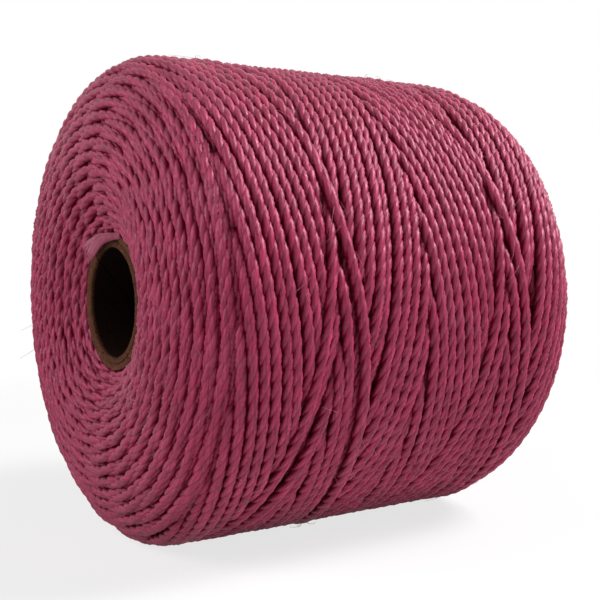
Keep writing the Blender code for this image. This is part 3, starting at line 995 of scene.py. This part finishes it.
@dataclass(frozen=True)
class StrayFilaments:
    """Fine hairs: long ones sprung from the loose last turn, and short ones all over.

    The short and the long ones each have a range of lengths, and of how far they stand off the line.
    """

    thickness: float = 0.022
    short_count: int = 380
    short: tuple[tuple[float, float], tuple[float, float]] = ((0.4, 1.1), (0.05, 0.18))
    long: tuple[tuple[float, float], tuple[float, float]] = ((0.9, 2.8), (0.1, 0.5))
    long_spacing: int = 15
    root: float = 0.28
    end_zone: float = 16.0
    steps: int = 9
    sides: int = 4
    seed: int = 8

    def build(self, stretches: list[Stretch], material: bpy.types.Material) -> None:
        """Grows the hairs from the line's surface.

        Args:
            stretches: The line's stretches that show.
            material: The hairs' finish.
        """
        rng = np.random.default_rng(self.seed)
        skins = []
        for stretch in stretches:
            if stretch.loose:
                points = stretch.points()
                count = max(2, len(points) // self.long_spacing)
                skins += [self.hair(points, rng, self.long) for _ in range(count)]
        weights = np.array([len(stretch.turn) for stretch in stretches], dtype=float)
        for pick in rng.choice(len(stretches), self.short_count, p=weights / weights.sum()):
            skins.append(self.hair(stretches[pick].points(), rng, self.short))
        skins = [skin for skin in skins if skin.points[..., 2].min() > FLOOR_HEIGHT + 0.1]
        place(object_of_skins("stray_filaments", skins, material), "line")

    def hair(
        self, points: np.ndarray, rng: np.random.Generator, kind: tuple[tuple[float, float], ...]
    ) -> Skin:
        """One hair that leaves the line, bows out and comes back near it.

        Args:
            points: The line's middle.
            rng: The source of its place and shape.
            kind: The ranges of its length and of how far it stands off.

        Returns:
            Its skin.
        """
        length, lift = (rng.uniform(*limits) for limits in kind)
        at = min(int(rng.integers(2, max(3, len(points) - 3))), len(points) - 2)
        ahead = unit(points[at + 1] - points[at - 1])
        out = unit(points[at] * np.array([0.0, 1.0, 1.0]))
        if abs(points[at][0]) > self.end_zone or np.hypot(points[at][1], points[at][2]) < self.end_zone:
            out = np.array([math.copysign(1.0, points[at][0]), 0.0, 0.0])
        side = np.cross(ahead, out)
        heading = ahead * rng.choice([-1.0, 1.0]) + side * rng.normal() * 0.7
        past = np.linspace(0.0, 1.0, self.steps)[:, None]
        sweep = heading * length * past + side * rng.normal() * 0.3 * length * past**2
        rise = out * (self.root + lift * np.sin(past * rng.uniform(1.8, 3.4)))
        middle = points[at] + sweep + rise
        _, up, across = frame_along(middle, np.tile(out + 0.01, (self.steps, 1)))
        thin = self.thickness * rng.uniform(0.55, 1.0) * np.linspace(1.0, 0.5, self.steps)
        return oval_skin(middle, across, up, (thin, thin), self.sides, length)


# ---------------------------------------------------------------- finishes


@dataclass
class Sheet:
    """A node tree, with short ways to add and join its nodes."""

    tree: bpy.types.NodeTree

    def add(self, kind: str, inputs: dict | None = None, **settings: Value) -> bpy.types.Node:
        """Adds a node.

        Args:
            kind: Its type.
            inputs: What its sockets take, by name or number.
            settings: Its own settings.

        Returns:
            The node.
        """
        node = self.tree.nodes.new(kind)
        for name, value in settings.items():
            setattr(node, name, value)
        for name, value in (inputs or {}).items():
            self.feed(node.inputs[name], value)
        return node

    def feed(self, socket: bpy.types.NodeSocket, value: Value) -> None:
        """Gives a socket a plain value or another socket's."""
        if isinstance(value, bpy.types.NodeSocket):
            self.tree.links.new(value, socket)
        else:
            socket.default_value = value

    def maths(self, operation: str, first: Value, second: Value = 0.0) -> bpy.types.NodeSocket:
        """The result of one sum."""
        return self.add("ShaderNodeMath", {0: first, 1: second}, operation=operation).outputs[0]

    def times(self, first: Value, second: Value) -> bpy.types.NodeSocket:
        """Two values multiplied."""
        return self.maths("MULTIPLY", first, second)

    def off_half(self, value: Value) -> bpy.types.NodeSocket:
        """How far the value's part after the point lies from a half."""
        return self.maths("ABSOLUTE", self.maths("SUBTRACT", self.maths("FRACT", value), 0.5))

    def radius(self, place_y: Value, place_z: Value) -> bpy.types.NodeSocket:
        """The distance from the spool's axis."""
        squares = self.maths("POWER", place_y, 2.0), self.maths("POWER", place_z, 2.0)
        return self.maths("SQRT", self.maths("ADD", *squares))

    def eased(self, value: Value, low: float, high: float, to: tuple[float, float] = (0.0, 1.0)) -> Value:
        """The value brought from one range to another with soft ends."""
        ranges = {"Value": value, "From Min": low, "From Max": high, "To Min": to[0], "To Max": to[1]}
        return self.add("ShaderNodeMapRange", ranges, interpolation_type="SMOOTHSTEP").outputs["Result"]

    def mixed(self, share: Value, first: Value, second: Value, blend: str = "MIX") -> bpy.types.NodeSocket:
        """Two colours mixed."""
        return self.add(
            "ShaderNodeMix", {0: share, 6: first, 7: second}, data_type="RGBA", blend_type=blend
        ).outputs[2]

    def overlaid(self, colour: Value, overlays: list[tuple[Value, float, Value]]) -> Value:
        """The colour with each overlay laid over it in turn: a mask, its greatest share and its colour."""
        for mask, share, over in overlays:
            colour = self.mixed(self.times(mask, share), colour, over)
        return colour

    def noise(self, vector: Value, scale: Value, detail: float = 2.0) -> bpy.types.NodeSocket:
        """A noise value at these places."""
        return self.add("ShaderNodeTexNoise", {"Vector": vector, "Scale": scale, "Detail": detail}).outputs[0]

    def parts(self, vector: Value) -> tuple[bpy.types.NodeSocket, ...]:
        """A vector's three numbers."""
        return tuple(self.add("ShaderNodeSeparateXYZ", {0: vector}).outputs)

    def place(self) -> bpy.types.NodeSocket:
        """The place on the object, in its own frame."""
        return self.add("ShaderNodeTexCoord").outputs["Object"]

    def vector(self, *parts: Value) -> bpy.types.NodeSocket:
        """A vector of three numbers."""
        return self.add("ShaderNodeCombineXYZ", dict(enumerate(parts))).outputs[0]

    def effect(self, tree: bpy.types.NodeTree, **inputs: Value) -> dict[str, bpy.types.NodeSocket]:
        """Places a node group, and gives its outputs. An input's name has _ in place of a space."""
        values = {name.replace("_", " "): value for name, value in inputs.items()}
        return dict(self.add("ShaderNodeGroup", values, node_tree=tree).outputs.items())


class Effects:
    """The shader node groups that more than one finish uses, each made once."""

    def __init__(self) -> None:
        """Makes the groups."""
        self.filament_grain = self.make_filament_grain()
        self.uneven_dye = self.make_uneven_dye()
        self.board_fibre = self.make_board_fibre()

    @staticmethod
    def group(name: str, inputs: dict[str, str], outputs: dict[str, str]) -> tuple[Sheet, dict, dict]:
        """An empty node group.

        Args:
            name: Its name.
            inputs: The kind of each input socket, by name.
            outputs: The kind of each output socket, by name.

        Returns:
            Its sheet, its input sockets and its output sockets, by name.
        """
        tree = bpy.data.node_groups.new(name, "ShaderNodeTree")
        for socket, kind in inputs.items():
            tree.interface.new_socket(name=socket, in_out="INPUT", socket_type="NodeSocket" + kind)
        for socket, kind in outputs.items():
            tree.interface.new_socket(name=socket, in_out="OUTPUT", socket_type="NodeSocket" + kind)
        sheet = Sheet(tree)
        taken, given = sheet.add("NodeGroupInput"), sheet.add("NodeGroupOutput")
        return (
            sheet,
            {socket: taken.outputs[socket] for socket in inputs},
            {socket: given.inputs[socket] for socket in outputs},
        )

    def make_filament_grain(self) -> bpy.types.NodeTree:
        """Filament streaks that run nearly straight along the line, and the grooves between its strands."""
        sheet, taken, given = self.group(
            "filament_grain",
            {"Lay Map": "Vector", "Turns per Metre": "Float", "Fineness": "Float"},
            {"Streaks": "Float", "Bundles": "Float", "Groove": "Float", "Strand Tone": "Float"},
        )
        share, run, _ = sheet.parts(taken["Lay Map"])
        fibre = sheet.maths("ADD", share, sheet.times(run, taken["Turns per Metre"]))
        angle = sheet.times(fibre, 2 * math.pi)
        cosine, sine = sheet.maths("COSINE", angle), sheet.maths("SINE", angle)
        round_it = sheet.vector(cosine, sine, sheet.times(run, 160.0))
        sheet.feed(given["Streaks"], sheet.noise(round_it, taken["Fineness"], 3.0))
        sheet.feed(given["Bundles"], sheet.noise(round_it, sheet.times(taken["Fineness"], 0.3), 1.0))
        thirds = sheet.times(share, 3.0)
        sheet.feed(given["Groove"], sheet.eased(sheet.off_half(thirds), 0.3, 0.5))
        strand = sheet.times(sheet.maths("FLOOR", thirds), 17.3)
        stray = sheet.vector(strand, sheet.times(run, 120.0), 0.37)
        sheet.feed(given["Strand Tone"], sheet.noise(stray, 1.0, 1.0))
        return sheet.tree

    def make_uneven_dye(self) -> bpy.types.NodeTree:
        """Broad pale and deep patches in the dye."""
        sheet, taken, given = self.group(
            "uneven_dye", {"Place": "Vector", "Scale": "Float"}, {"Pale": "Float", "Deep": "Float"}
        )
        patches = sheet.noise(taken["Place"], taken["Scale"], 3.0)
        sheet.feed(given["Pale"], sheet.eased(patches, 0.52, 0.8))
        sheet.feed(given["Deep"], sheet.eased(patches, 0.48, 0.2))
        return sheet.tree

    def make_board_fibre(self) -> bpy.types.NodeTree:
        """Board: felted fibres, pale and dark specks, layers at a cut rim, and the strip's helical seam."""
        sheet, taken, given = self.group(
            "board_fibre",
            {"Place": "Vector", "Seam Pitch": "Float", "Layer": "Float"},
            {"Fibre": "Float", "Speck": "Float", "Pale Speck": "Float", "Layers": "Float", "Seam": "Float"},
        )
        place_x, place_y, place_z = sheet.parts(taken["Place"])
        stretched = sheet.vector(sheet.times(place_x, 0.4), place_y, place_z)
        sheet.feed(given["Fibre"], sheet.noise(stretched, 9000.0, 4.0))
        sheet.feed(given["Speck"], sheet.eased(sheet.noise(taken["Place"], 3600.0, 1.0), 0.64, 0.7))
        shifted = sheet.add("ShaderNodeVectorMath", {0: taken["Place"], 1: (0.3, 0.7, 0.2)}, operation="ADD")
        sheet.feed(given["Pale Speck"], sheet.eased(sheet.noise(shifted.outputs[0], 4200.0, 1.0), 0.66, 0.71))
        layer = sheet.maths("DIVIDE", sheet.radius(place_y, place_z), taken["Layer"])
        sheet.feed(given["Layers"], sheet.eased(sheet.off_half(layer), 0.36, 0.5))
        turn = sheet.maths("DIVIDE", sheet.maths("ARCTAN2", place_z, place_y), 2 * math.pi)
        helix = sheet.maths("ADD", sheet.maths("DIVIDE", place_x, taken["Seam Pitch"]), turn)
        sheet.feed(given["Seam"], sheet.eased(sheet.off_half(helix), 0.006, 0.002))
        return sheet.tree


def finished(
    sheet: Sheet, colour: Value, roughness: Value, bump: tuple[Value, float, float], **plain: Value
) -> None:
    """Joins a finish to its material's shader.

    Args:
        sheet: The material's sheet.
        colour: Its base colour.
        roughness: Its roughness.
        bump: The height of its surface detail from 0 to 1, its depth in metres, and how much shows.
        plain: Plain values for the shader's other sockets, each name with _ in place of a space.
    """
    height, depth, strength = bump
    detail = sheet.add("ShaderNodeBump", {"Height": height, "Distance": depth, "Strength": strength})
    values = {"Base Color": colour, "Roughness": roughness, "Normal": detail.outputs["Normal"]}
    values |= {name.replace("_", " "): value for name, value in plain.items()}
    for name, value in values.items():
        sheet.feed(sheet.tree.nodes["Principled BSDF"].inputs[name], value)


def new_sheet(name: str) -> tuple[bpy.types.Material, Sheet]:
    """A new material and its sheet."""
    made = bpy.data.materials.new(name)
    made.use_nodes = True
    return made, Sheet(made.node_tree)


def rgba(colour: Colour, times: float = 1.0) -> tuple[float, float, float, float]:
    """A colour for a socket, made lighter or darker."""
    return (colour[0] * times, colour[1] * times, colour[2] * times, 1.0)


@dataclass(frozen=True)
class Finish:
    """A procedural finish."""

    name: str

    def material(self, effects: Effects) -> bpy.types.Material:
        """Makes the material.

        Args:
            effects: The shared node groups.

        Returns:
            The material.
        """
        made, sheet = new_sheet(self.name)
        self.paint(sheet, effects)
        return made

    def paint(self, sheet: Sheet, effects: Effects) -> None:
        """Joins the finish to its material's shader."""
        raise NotImplementedError


@dataclass(frozen=True)
class NylonFinish(Finish):
    """Dyed multifilament nylon: satin strands, darker in the grooves between them, which is painted shade.

    The crown's colour is where the line faces out of the package, paler: a painted sheen. The body's is on
    its
    flanks, darker: painted shade. The under's is beneath it, a brighter red: painted light in the shaded
    gaps.
    The pale one is painted glints on the filaments that catch the light, and pale patches of the dye.
    """

    crown: Colour
    body: Colour
    groove: Colour
    under: Colour
    pale: Colour
    roughness: tuple[float, float] = (0.34, 0.56)
    fineness: float = 10.0
    lay: float = 3.6
    # How much painted shade the grooves between strands take.
    groove_share: float = 0.6
    specular: float = 0.68
    sheen: Colour = (1.0, 0.44, 0.64)
    translucence: float = 0.2
    bump: float = 0.6

    def paint(self, sheet: Sheet, effects: Effects) -> None:
        """Joins the finish to its material's shader."""
        lay_map = sheet.add("ShaderNodeUVMap", uv_map=LAY_MAP).outputs["UV"]
        turns = 1000.0 / self.lay
        grain = sheet.effect(
            effects.filament_grain, Lay_Map=lay_map, Turns_per_Metre=turns, Fineness=self.fineness
        )
        where = sheet.place()
        dye = sheet.effect(effects.uneven_dye, Place=where, Scale=210.0)
        streaks, bundles = grain["Streaks"], grain["Bundles"]
        # Painted light by exposure: brighter red under the line for light in the shaded gaps, painted shade
        # on its flanks, a pale painted sheen on its crown.
        exposure = sheet.add("ShaderNodeAttribute", attribute_name=EXPOSURE).outputs["Fac"]
        tone = sheet.mixed(sheet.eased(exposure, -0.7, -0.1), rgba(self.under), rgba(self.body))
        tone = sheet.mixed(sheet.eased(exposure, 0.2, 0.9), tone, rgba(self.crown))
        bright = sheet.eased(bundles, 0.3, 0.7, (0.55, 1.45))
        tone = sheet.mixed(1.0, tone, sheet.vector(bright, bright, bright), "MULTIPLY")
        tone = sheet.mixed(sheet.eased(streaks, 0.5, 0.75, (0.0, 0.5)), tone, rgba(self.pale))
        strand_tone = sheet.eased(grain["Strand Tone"], 0.35, 0.65, (0.0, 0.3))
        tone = sheet.mixed(strand_tone, tone, rgba(self.groove, 1.3))
        overlays = [
            (dye["Pale"], 0.25, rgba(self.pale)),
            (dye["Deep"], 0.3, rgba(self.body, 0.8)),
            # Painted shade in the grooves between the strands.
            (grain["Groove"], self.groove_share, rgba(self.groove)),
        ]
        finished(
            sheet,
            sheet.overlaid(tone, overlays),
            sheet.eased(streaks, 0.3, 0.7, self.roughness),
            (sheet.maths("ADD", sheet.times(bundles, 0.7), sheet.times(streaks, 0.3)), 0.00006, self.bump),
            Specular_IOR_Level=self.specular,
            Specular_Tint=rgba(self.sheen),
            Subsurface_Weight=self.translucence,
            Subsurface_Radius=(1.0, 0.4, 0.5),
            Subsurface_Scale=0.0003,
        )


@dataclass(frozen=True)
class BuriedFinish(Finish):
    """Older turns deep in the package, which lie dark in shade. Their bright red is painted light in the
    shaded gaps, and the faint rounds where each line lies are painted shade: dark between the lines, lighter
    on their crowns.
    """

    name: str = "buried_line"
    # A bright red: painted light in the shaded gaps.
    colour: Colour = (0.36, 0.004, 0.03)
    width: float = 0.87

    def paint(self, sheet: Sheet, effects: Effects) -> None:
        """Joins the finish to its material's shader."""
        where = sheet.place()
        place_x, place_y, place_z = sheet.parts(where)
        depth = sheet.maths("ADD", sheet.maths("ABSOLUTE", place_x), sheet.radius(place_y, place_z))
        wave = sheet.maths("SINE", sheet.times(depth, 2 * math.pi / (self.width * METRES)))
        dye = sheet.effect(effects.uneven_dye, Place=where, Scale=900.0)
        # Painted shade: darker between the buried lines, lighter on their crowns.
        rounds = sheet.eased(wave, -1.0, 1.0)
        colour = sheet.mixed(rounds, rgba(self.colour, 0.45), rgba(self.colour, 1.1))
        colour = sheet.overlaid(colour, [(dye["Deep"], 0.5, rgba(self.colour, 0.5))])
        finished(sheet, colour, sheet.eased(dye["Pale"], 0.0, 1.0, (0.7, 0.55)), (rounds, 0.0003, 0.8))


@dataclass(frozen=True)
class BoardFinish(Finish):
    """Grey-brown spiral-wound board with specks of pulp. Its wall may carry painted shade, darker than its
    cut rim.
    """

    colour: Colour
    roughness: float = 0.88
    wall_shade: float = 1.0
    rim_at: float = 15.5
    seam_pitch: float = 24.0
    layer: float = 0.17

    def paint(self, sheet: Sheet, effects: Effects) -> None:
        """Joins the finish to its material's shader."""
        where = sheet.place()
        pitch, layer = self.seam_pitch * METRES, self.layer * METRES
        board = sheet.effect(effects.board_fibre, Place=where, Seam_Pitch=pitch, Layer=layer)
        dye = sheet.effect(effects.uneven_dye, Place=where, Scale=600.0)
        fibre = board["Fibre"]
        colour = sheet.mixed(sheet.eased(fibre, 0.3, 0.7), rgba(self.colour, 0.7), rgba(self.colour, 1.3))
        overlays = [
            (dye["Deep"], 0.4, rgba(self.colour, 0.5)),
            (board["Layers"], 0.4, rgba(self.colour, 0.45)),
            (board["Speck"], 0.75, rgba(self.colour, 0.15)),
            (board["Pale Speck"], 0.6, rgba(self.colour, 2.6)),
            (board["Seam"], 0.8, rgba(self.colour, 0.2)),
        ]
        # Painted shade on the wall: all but the cut rim is darkened by the wall shade.
        along = sheet.maths("ABSOLUTE", sheet.parts(where)[0])
        at_rim = ((self.rim_at - 0.4) * METRES, (self.rim_at - 0.1) * METRES)
        shade = sheet.eased(along, *at_rim, (self.wall_shade, 1.0))
        colour = sheet.overlaid(colour, overlays)
        colour = sheet.mixed(1.0, colour, sheet.vector(shade, shade, shade), "MULTIPLY")
        height = sheet.maths("SUBTRACT", fibre, sheet.times(board["Layers"], 0.5))
        height = sheet.maths("SUBTRACT", height, board["Seam"])
        rough = sheet.eased(fibre, 0.2, 0.8, (self.roughness - 0.06, self.roughness + 0.06))
        finished(sheet, colour, rough, (height, 0.00005, 0.6), Specular_IOR_Level=0.05)


# ---------------------------------------------------------------- the stage


@dataclass(frozen=True)
class Lamp:
    """A square soft lamp that faces the spool."""

    name: str
    place: tuple[float, float, float]
    size: float
    power: float


@dataclass(frozen=True)
class Studio:
    """The pale floor, the soft lamps and the camera."""

    focal_pixels: float = 1000.0
    yaw: float = 0.5846
    pitch: float = 0.0393
    roll: float = -0.0134
    distance: float = 86.0
    aside: float = 1.694
    above: float = -0.32
    ambient: float = 0.14
    floor_glow: float = 0.75
    lamps: tuple[Lamp, ...] = (
        Lamp("key_lamp", (130.0, -98.0, 168.0), 90.0, 0.68),
        Lamp("side_lamp", (-200.0, 30.0, 120.0), 140.0, 0.29),
    )

    def camera(self) -> None:
        """Sets up the camera, at the photograph's viewing angle."""
        made = bpy.data.cameras.new("camera")
        made.sensor_width = 36.0
        made.lens = 36.0 * self.focal_pixels / 600
        made.clip_start = 0.001
        obj = linked("camera", made)
        yaw, pitch = self.yaw, self.pitch
        ahead = Vector((math.sin(yaw) * math.cos(pitch), math.cos(yaw) * math.cos(pitch), -math.sin(pitch)))
        right = Vector((math.cos(yaw), -math.sin(yaw), 0.0))
        up = right.cross(ahead)
        turned = math.cos(self.roll) * right + math.sin(self.roll) * up
        up = -math.sin(self.roll) * right + math.cos(self.roll) * up
        stand = -ahead * self.distance + turned * self.aside + up * self.above
        matrix = obj.matrix_world.copy()
        for row in range(3):
            matrix[row][0], matrix[row][1], matrix[row][2] = turned[row], up[row], -ahead[row]
            matrix[row][3] = stand[row] * METRES
        obj.matrix_world = matrix
        bpy.context.scene.camera = obj

    def light(self, lamp: Lamp) -> None:
        """Sets up one lamp."""
        made = bpy.data.lights.new(lamp.name, "AREA")
        made.shape = "SQUARE"
        made.size = lamp.size * METRES
        made.energy = lamp.power
        obj = linked(lamp.name, made)
        obj.location = Vector(lamp.place) * METRES
        obj.rotation_euler = (-Vector(lamp.place)).to_track_quat("-Z", "Y").to_euler()

    def seen(self, sheet: Sheet) -> bpy.types.NodeSocket:
        """1 for a ray from the camera, or by way of a mirror or glass, and otherwise 0."""
        path = sheet.add("ShaderNodeLightPath").outputs
        shiny = sheet.maths("MAXIMUM", path["Is Glossy Ray"], path["Is Transmission Ray"])
        return sheet.maths("MAXIMUM", path["Is Camera Ray"], shiny)

    def floor(self) -> None:
        """Lays the pale floor, which keeps the spool's shadow."""
        bpy.ops.object.select_all(action="DESELECT")
        bpy.ops.mesh.primitive_plane_add(size=2.0, location=(0.0, 0.0, FLOOR_HEIGHT * METRES))
        obj = bpy.context.active_object
        obj.name = "floor"
        bpy.ops.object.transform_apply(location=True, rotation=True, scale=True)
        made, sheet = new_sheet("pale_floor")
        shader = made.node_tree.nodes["Principled BSDF"]
        shader.inputs["Base Color"].default_value = (0.9, 0.9, 0.9, 1.0)
        shader.inputs["Roughness"].default_value = 0.9
        shader.inputs["Specular IOR Level"].default_value = 0.0
        glow = sheet.add("ShaderNodeEmission", {"Color": (1.0, 1.0, 1.0, 1.0), "Strength": 1.0})
        where = sheet.place()
        away = sheet.add("ShaderNodeVectorMath", {0: where}, operation="LENGTH").outputs["Value"]
        bright = sheet.eased(away, 0.04, 0.14, (self.floor_glow, 1.0))
        share = sheet.times(self.seen(sheet), bright)
        both = sheet.add("ShaderNodeMixShader", {0: share, 1: shader.outputs[0], 2: glow.outputs[0]})
        sheet.feed(made.node_tree.nodes["Material Output"].inputs["Surface"], both.outputs[0])
        obj.data.materials.append(made)

    def surroundings(self) -> None:
        """Sets an even light all round, which looks white."""
        world = bpy.data.worlds.new("surroundings")
        bpy.context.scene.world = world
        world.use_nodes = True
        sheet = Sheet(world.node_tree)
        light = world.node_tree.nodes["Background"]
        light.inputs["Color"].default_value = (1.0, 1.0, 1.0, 1.0)
        extra = sheet.times(self.seen(sheet), 1.0 - self.ambient)
        sheet.feed(light.inputs["Strength"], sheet.maths("ADD", extra, self.ambient))

    def build(self) -> None:
        """Sets the stage."""
        bpy.context.scene.view_settings.view_transform = "Standard"
        self.surroundings()
        self.floor()
        for lamp in self.lamps:
            self.light(lamp)
        self.camera()


# The crown's paler colour is a painted sheen, the body's painted shade, the under's brighter red painted
# light in the shaded gaps, and the groove's painted shade.
ROSE_LINE = NylonFinish(
    "rose_nylon_line",
    crown=(0.33, 0.024, 0.076),
    body=(0.23, 0.006, 0.036),
    groove=(0.17, 0.0015, 0.020),
    under=(0.34, 0.003, 0.030),
    pale=(0.45, 0.11, 0.19),
)
PALE_TAIL = NylonFinish(
    "pale_untwisted_nylon",
    crown=(0.40, 0.090, 0.15),
    body=(0.36, 0.060, 0.11),
    groove=(0.26, 0.02, 0.05),
    under=(0.30, 0.02, 0.05),
    pale=(0.56, 0.25, 0.31),
    groove_share=0.2,
    bump=0.5,
)
LOOSE_HAIR = NylonFinish(
    "loose_filament",
    crown=(0.46, 0.15, 0.21),
    body=(0.42, 0.12, 0.17),
    groove=(0.36, 0.09, 0.13),
    under=(0.36, 0.09, 0.13),
    pale=(0.65, 0.38, 0.43),
    groove_share=0.2,
    translucence=0.0,
)
# The inner ply's wall carries painted shade in the bore.
INNER_BOARD = BoardFinish("inner_board_with_painted_bore_shade", (0.090, 0.036, 0.020), wall_shade=0.08)
OUTER_BOARD = BoardFinish("grey_brown_outer_board", (0.110, 0.043, 0.025))


def main() -> None:
    """Builds the spool's looks, piece by piece."""
    logging.basicConfig(level=logging.INFO, format="%(name)s: %(message)s")
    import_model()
    effects = Effects()
    outline = Outline()
    Studio().build()
    stretches = Winding(outline).wind()
    log.info("winding: %d stretches show", len(stretches))
    WoundLine().build(outline, stretches, ROSE_LINE.material(effects))
    BuriedCore().build(outline, BuriedFinish().material(effects))
    boards = {"inner_paper": INNER_BOARD.material(effects), "outer_paper": OUTER_BOARD.material(effects)}
    PaperTube().build(boards)
    StartTail().build(PALE_TAIL.material(effects))
    StrayFilaments().build(stretches, LOOSE_HAIR.material(effects))


if __name__ == "__main__":
    main()
